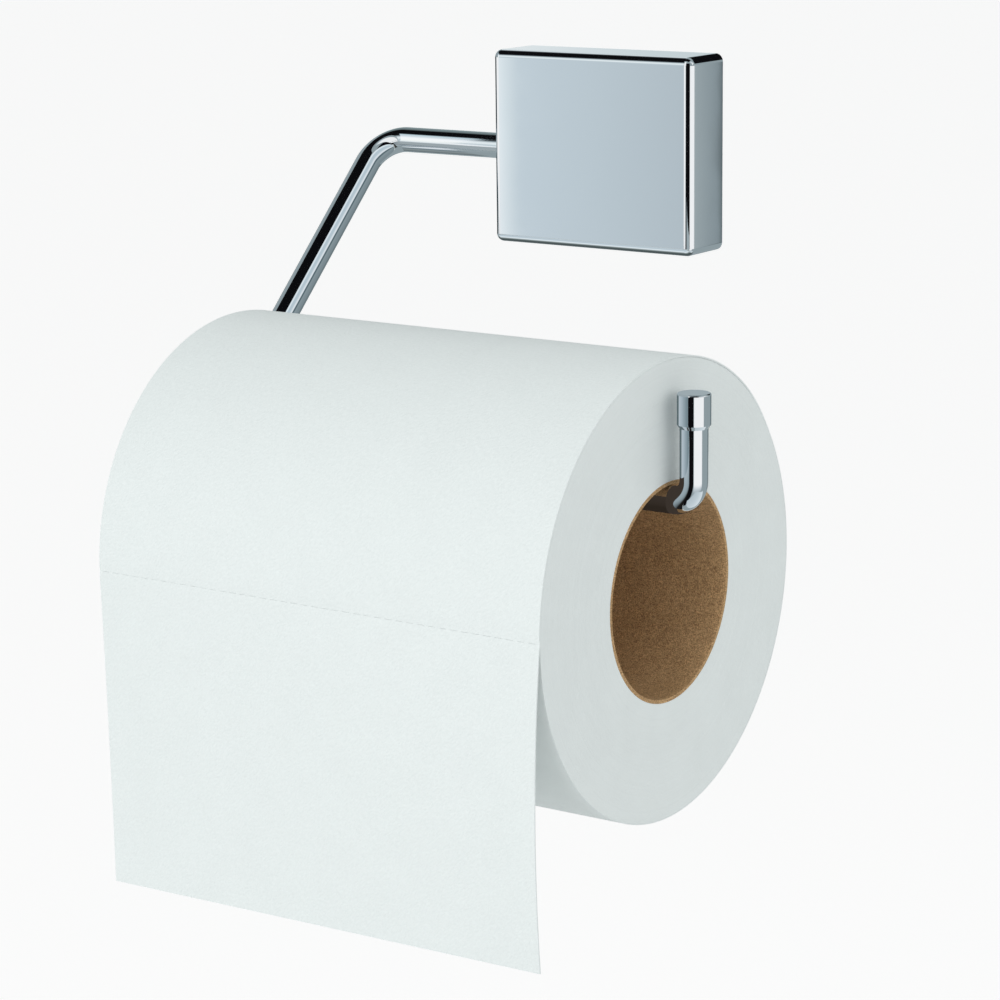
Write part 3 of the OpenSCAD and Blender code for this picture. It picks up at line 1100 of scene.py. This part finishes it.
# %% Reflection cards
WHITE = (1, 1, 1)
SOFT_WHITE = (0.9, 0.93, 0.95)
LIGHT_BLUE = (0.82, 0.9, 0.94)
LIGHT_GREY = (0.78, 0.85, 0.88)
PALE = (0.81, 0.86, 0.9)
BLUE_GREY = (0.57, 0.66, 0.715)
MID_GREY = (0.34, 0.4, 0.42)
SLATE = (0.155, 0.22, 0.245)
DARK_TEAL = (0.02, 0.035, 0.04)
# painted shade: the dark brown of the core's shaded inside, as the bar mirrors it
PAINTED_CORE_SHADE_DARK = (0.05, 0.038, 0.03)
BLACK = (0.004, 0.004, 0.005)
ARC_R = 0.95
ARC_STEPS = 120


def dress_card(piece, name, stops, along, one_sided=False):
    """Makes a mesh glow in these colours, for mirror rays alone, and on one side if asked."""
    piece.name = name
    for rays in ("camera", "diffuse", "transmission", "shadow"):
        setattr(piece, "visible_" + rays, False)
    material, shader = start_finish(name, Base_Color=(0, 0, 0, 1), Specular_IOR_Level=0)
    material.cycles.emission_sampling = "NONE"
    spot = add_node(shader, "ShaderNodeTexCoord").outputs["UV"]
    split = add_node(shader, "ShaderNodeSeparateXYZ", {0: spot})
    link(tint(split.outputs[along], stops), shader.inputs["Emission Color"])
    shader.inputs["Emission Strength"].default_value = 1
    if one_sided:
        side = add_node(shader, "ShaderNodeNewGeometry").outputs["Backfacing"]
        clear = add_node(shader, "ShaderNodeBsdfTransparent").outputs["BSDF"]
        sides = {0: side, 1: shader.outputs["BSDF"], 2: clear}
        mix = add_node(shader, "ShaderNodeMixShader", sides)
        output = material.node_tree.nodes["Material Output"]
        link(mix.outputs["Shader"], output.inputs["Surface"])
    piece.data.materials.append(material)


def card(name, corners, stops, upward=False, one_sided=False):
    """A flat card between four corners. Its colour runs from the first side to the second."""
    bpy.ops.mesh.primitive_plane_add(size=1)
    piece = bpy.context.object
    for vert, corner in zip(piece.data.vertices, corners):
        vert.co = corner
    dress_card(piece, name, stops, "Y" if upward else "X", one_sided)


def arc_card(name, left, right, stops):
    """A card bent round the X axis. Its colours are set by angle, which counts up from -Y."""
    bpy.ops.mesh.primitive_grid_add(x_subdivisions=1, y_subdivisions=ARC_STEPS, size=1)
    piece = bpy.context.object
    start, end = stops[0][0], stops[-1][0]
    for vert in piece.data.vertices:
        angle = math.radians(start + (end - start) * (vert.co.y + 0.5))
        across = left + (right - left) * (vert.co.x + 0.5)
        vert.co = (across, -ARC_R * math.cos(angle), ARC_R * math.sin(angle))
    dress_card(piece, name, [((a - start) / (end - start), c) for a, c in stops], "Y")


def upright(start, end, low, high):
    """The corners of an upright card over the line from start to end on the floor plan."""
    return ((*start, low), (*end, low), (*start, high), (*end, high))


def level(low, high, height):
    """The corners of a level card between two corners on the floor plan, at a height."""
    return [(x, y, height) for y in (low[1], high[1]) for x in (low[0], high[0])]


def plain(colour):
    return [(0, colour), (1, colour)]


# %% [markdown]
# ### Cards round the cover
# The flat front mirrors one graded board, which keeps it calm. The bent card over that board
# gives the front's upper edge a pale line and a black one, and a small card close under the cover
# does so for the lower edge. Three cards from the middle round to the right give the right edge
# its white and black lines, and two on the left serve the left edge. The rest are seen in the
# cover's top and right side.

# %% Cards round the cover
CARD_TOP = -0.03
FLAG_FOOT = -0.165

card(
    "front_board",
    upright((-0.745, -1), (-0.5, -1), -0.25, -0.025),
    [
        (0, WHITE),
        (0.165, (0.95, 0.98, 1)),
        (0.184, (0.82, 0.9, 0.93)),
        (0.2, (0.74, 0.825, 0.86)),
        (0.222, (0.665, 0.75, 0.79)),
        (0.228, (0.615, 0.705, 0.76)),
        (0.457, (0.571, 0.655, 0.703)),
        (0.69, (0.515, 0.59, 0.635)),
        (1, (0.46, 0.53, 0.57)),
    ],
)
arc_card("cover_arc", -0.676, -0.5, [
    (-1.5, (0.57, 0.655, 0.7)),
    (6, (0.58, 0.665, 0.71)),
    (13, (0.86, 0.93, 0.95)),
    (26, (0.86, 0.93, 0.95)),
    (37, (0.3, 0.36, 0.39)),
    (46, BLACK),
    (108, BLACK),
    (122, (0.16, 0.18, 0.19)),
    (135, LIGHT_GREY),
    (160, LIGHT_GREY),
])
card("back_board", upright((-0.4, 1), (-1, 1), 0.03, 0.2), [
    (0, (0.55, 0.62, 0.65)),
    (0.35, (0.6, 0.68, 0.71)),
    (0.5, (0.75, 0.81, 0.83)),
    (1, (0.85, 0.9, 0.92)),
])
card("back_flag", upright((-0.5, 1), (0.7, 1), 0.22, 0.8), plain(BLACK))
card("left_board", upright((-1.3, -0.2), (-0.745, -1), -0.2, -0.02), plain(WHITE))
card("left_flag", upright((-0.7, 0.9), (-1.3, -0.2), -0.2, -0.02), plain(DARK_TEAL))
card("edge_line", upright((-0.45, -0.93), (0, -1), FLAG_FOOT, CARD_TOP), plain(WHITE))
card("edge_flag", upright((0.06, -1), (0.88, -0.52), FLAG_FOOT, 0.6), plain(BLACK))
card("edge_box", upright((0.89, -0.5), (0.7, 0.72), FLAG_FOOT, CARD_TOP), plain(WHITE))
card("side_board", upright((0.49, 0.9), (0.66, 0.9), -0.22, CARD_TOP), [
    (0, (0.08, 0.1, 0.105)),
    (0.37, (0.08, 0.1, 0.105)),
    (0.377, (0.26, 0.316, 0.34)),
    (0.47, MID_GREY),
    (1, SOFT_WHITE),
])
card(
    "under_card",
    level((-0.04, -0.045), (0.03, 0), -0.0275),
    [
        (0, BLUE_GREY),
        (0.5, BLUE_GREY),
        (0.53, LIGHT_BLUE),
        (0.61, LIGHT_BLUE),
        (0.64, (0.33, 0.38, 0.38)),
        (0.67, (0.31, 0.35, 0.35)),
        (0.71, (0.08, 0.105, 0.105)),
        (0.8, (0.08, 0.1, 0.1)),
        (1, (0.14, 0.17, 0.175)),
    ],
    upward=True,
)

# %% [markdown]
# ### Cards round the upper run and the leg
# A round bar squeezes the whole room into streaks along its length. The level run mirrors one
# bent card, whose colours follow each other round the bar. The leg mirrors a small card close
# beside it, which is grey towards the wall, pale towards the room and clear from behind. The bend
# between them picks up a white board, a black flag overhead and a pale board on the right.

# %% Cards round the upper run and the leg
LEG_GAP = 8.2 * MM
LEG_SPAN = (-8 * MM, 52 * MM)
LEG_DEPTH = (-20 * MM, 10.3 * MM)

arc_card("run_arc", -1.1, -0.676, [
    (-123, (0.09, 0.123, 0.124)),
    (-105, (0.21, 0.253, 0.263)),
    (-89, (0.275, 0.311, 0.322)),
    (-79, (0.193, 0.244, 0.263)),
    (-71, SLATE),
    (-67, PALE),
    (-53, PALE),
    (-49, (0.53, 0.62, 0.66)),
    (-22, (0.53, 0.62, 0.66)),
    (-15, (0.63, 0.71, 0.75)),
    (-6, (0.9, 0.945, 0.955)),
    (3, (1.06, 1.08, 1.05)),
    (21, (1.08, 1.09, 1.09)),
    (30, (0.97, 1.01, 1.04)),
    (39, (0.74, 0.81, 0.85)),
    (53, (0.6, 0.74, 0.81)),
    (61, BLACK),
    (105, BLACK),
    (114, (0.14, 0.18, 0.187)),
    (142, (0.236, 0.302, 0.313)),
    (165, (0.25, 0.315, 0.33)),
])
leg_way = Vector((0, lower_y - upper_y, lower_z - upper_z)).normalized()
leg_front = Vector((0, leg_way.z, -leg_way.y))
leg_start = Vector((leg_x + LEG_GAP, upper_y, upper_z))
card(
    "leg_card",
    [leg_start + leg_way * down + leg_front * out for out in LEG_DEPTH for down in LEG_SPAN],
    [
        (0, (0.224, 0.28, 0.298)),
        (0.475, (0.238, 0.294, 0.318)),
        (0.6, (0.28, 0.343, 0.363)),
        (0.633, (0.1, 0.15, 0.17)),
        (0.672, (0.1, 0.15, 0.17)),
        (0.685, PALE),
        (0.72, PALE),
        (0.75, (0.61, 0.71, 0.75)),
        (0.79, (0.53, 0.63, 0.69)),
        (0.87, (0.54, 0.64, 0.7)),
        (0.9, LIGHT_BLUE),
        (0.97, LIGHT_BLUE),
        (1, (0.5, 0.58, 0.6)),
    ],
    upward=True,
    one_sided=True,
)
card(
    "bend_card",
    upright((-0.45, -0.93), (0.055, -1), 0, 1.4),
    [(0, WHITE), (0.7, WHITE), (0.9, (0.6, 0.68, 0.72)), (1, (0.3, 0.35, 0.37))],
    upward=True,
)
card("overhead_flag", level((-0.7, -0.55), (0.62, 0.27), 1), plain(BLACK))
card(
    "right_board",
    ((1, -0.5, 1.24), (1, 0.18, 0.13), (1, 0, 1.56), (1, 0.69, 0.44)),
    [(0, (0.55, 0.62, 0.66)), (0.8, (0.72, 0.78, 0.8)), (0.86, WHITE), (1, WHITE)],
)
card("back_line_flag", upright((-0.5, 1), (0.3, 1), -0.44, -0.22), plain((0.17, 0.215, 0.23)))

# %% [markdown]
# ### Cards round the tip
# The tip and its cap mirror a grey board, a black flag and a white one, in bands from left to
# right. On their other side they stand so close to the roll's pale end that they would mirror
# little else. Thin screens just off that end hide it from mirror rays and paint darker tones in
# its place, a painted reflection. One screen over the upper part of the core's mouth and two cards
# inside the core round the bar's lower run paint the dark brown of the core's shaded inside, as
# painted shade.

# %% Cards round the tip
SCREEN_X = half_roll + 0.4 * MM
SLEEVE_GAP = 4.5 * MM
SLEEVE_FOOT = -0.0605
# painted shade: a brown for the core's shaded inside, seen in the bar's lower run
PAINTED_CORE_SHADE = (0.03, 0.022, 0.016)
BAND_LOW, BAND_RIM, BAND_CAP = -0.0645, -0.0512, -0.0358


def screen(front, back, low, high):
    """The corners of an upright screen just off the roll's end, between two depths."""
    return upright((SCREEN_X, front), (SCREEN_X, back), low, high)


card("tip_board", upright((-1.2, -0.3), (-0.1, -1.05), -0.7, -0.17), [
    (0, (0.53, 0.6, 0.62)),
    (1, (0.26, 0.3, 0.32)),
])
card(
    "tip_flag",
    ((-0.5, -1, -1.8), (0.2, -1, -1.8), (-0.1, -1.05, FLAG_FOOT), (0.54, -0.94, FLAG_FOOT)),
    plain(BLACK),
)
card(
    "tip_box",
    upright((0.57, -0.92), (1.04, 0.1), -0.7, FLAG_FOOT),
    [(0, MID_GREY), (0.4, (0.6, 0.66, 0.7)), (0.75, WHITE), (1, WHITE)],
    upward=True,
)
card(
    "bend_board",
    level((0.12, -0.62), (0.85, 0.45), -0.6),
    [(0, (0.5, 0.58, 0.62)), (0.5, (0.6, 0.68, 0.72)), (1, LIGHT_GREY)],
    upward=True,
)
# Painted reflection: cap_screen, tip_screen and low_screen hide the roll's pale end from mirror
# rays and show darker grey, teal and black in its place.
card("cap_screen", screen(-0.107, -0.03, BAND_CAP, -0.02), plain((0.37, 0.435, 0.46)))
card("tip_screen", screen(-0.095, -0.03, BAND_RIM, BAND_CAP), [
    (0, (0.2, 0.265, 0.295)),
    (0.277, (0.222, 0.294, 0.327)),
    (0.375, (0.333, 0.41, 0.451)),
    (0.42, (0.445, 0.529, 0.577)),
    (0.45, (0.53, 0.605, 0.65)),
    (0.457, (0.12, 0.16, 0.17)),
    (0.53, (0.12, 0.16, 0.17)),
    (0.6, DARK_TEAL),
    (1, DARK_TEAL),
])
# painted shade: this screen shows the tip the dark brown of the core's shaded inside
card("rim_core_shade", screen(-0.0685, -0.042, BAND_LOW, BAND_RIM), plain(PAINTED_CORE_SHADE_DARK))
card(
    "low_screen",
    screen(-0.107, -0.0685, -0.1, BAND_RIM),
    [(0, BLACK), (0.75, (0.015, 0.014, 0.013)), (0.9, (0.3, 0.37, 0.4)), (1, (0.42, 0.5, 0.54))],
    upward=True,
)
# painted shade: these two cards inside the core paint the bar's reflection of the core's shaded
# inside in dark brown, in place of the core itself
sleeve_front, sleeve_back = lower_y - SLEEVE_GAP, lower_y + SLEEVE_GAP
card(
    "front_core_shade",
    upright((-half_roll, sleeve_front), (SCREEN_X, sleeve_front), SLEEVE_FOOT, -0.052),
    [(0, PAINTED_CORE_SHADE), (1, PAINTED_CORE_SHADE_DARK)],
    upward=True,
)
card(
    "low_core_shade",
    level((-half_roll, sleeve_front), (SCREEN_X, sleeve_back), SLEEVE_FOOT),
    plain(PAINTED_CORE_SHADE),
)
